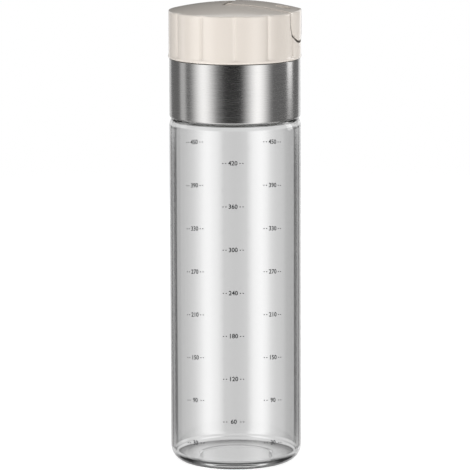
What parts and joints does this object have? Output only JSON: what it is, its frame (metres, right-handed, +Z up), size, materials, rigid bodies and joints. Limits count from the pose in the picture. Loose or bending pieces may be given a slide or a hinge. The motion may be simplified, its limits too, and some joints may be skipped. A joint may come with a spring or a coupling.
{
  "type": "oil dispenser bottle",
  "caption": "Straight clear glass bottle with a steel-clad screw closure, a lobed cap, and a flip lid over its pouring spout.",
  "frame": {"origin": "centre of the ring that the bottle stands on, in the plane of the table", "axes": "+Z up along the bottle; -Y is the front; the flip lid points towards +X, turned 15 degrees to the front"},
  "size_m": [0.065, 0.065, 0.2272],
  "materials": {
    "clear_glass": "polished",
    "brushed_steel": "brushed around the collar",
    "pin_steel": "ground",
    "cream_plastic": "fine satin",
    "natural_plastic": "satin",
    "silicone": "matt",
    "scale_ink": "printed"
  },
  "bodies": {
    "bottle": {"glass_bottle": "clear_glass"},
    "gasket": {"neck_gasket": "silicone"},
    "closure": {"collar_core": "natural_plastic", "steel_collar": "brushed_steel", "cap_shell": "cream_plastic", "pour_insert": "natural_plastic", "insert_seal": "silicone", "spout_seal": "silicone", "pour_spout": "natural_plastic", "lid_pin": "pin_steel"},
    "lid": {"flip_lid": "cream_plastic", "spout_plug": "silicone", "vent_plug": "silicone"}
  },
  "joints": [
    {"name": "closure_lift", "type": "slide", "parent": "bottle", "child": "gasket", "axis": [0, 0, 1], "range_m": [0, 0.005]},
    {"name": "closure_turn", "type": "hinge", "parent": "gasket", "child": "closure", "pos_m": [0, 0, 0.19], "axis": [0, 0, 1], "range_deg": [0, 450]},
    {"name": "lid_flip", "type": "hinge", "parent": "closure", "child": "lid", "pos_m": [0, 0, 0.2244], "axis": [-0.2588, -0.9659, 0], "range_deg": [0, 100]}
  ],
  "couplings": [
    {"joint": "closure_lift", "follows": "closure_turn", "m_per_rad": 0.00063661}
  ]
}
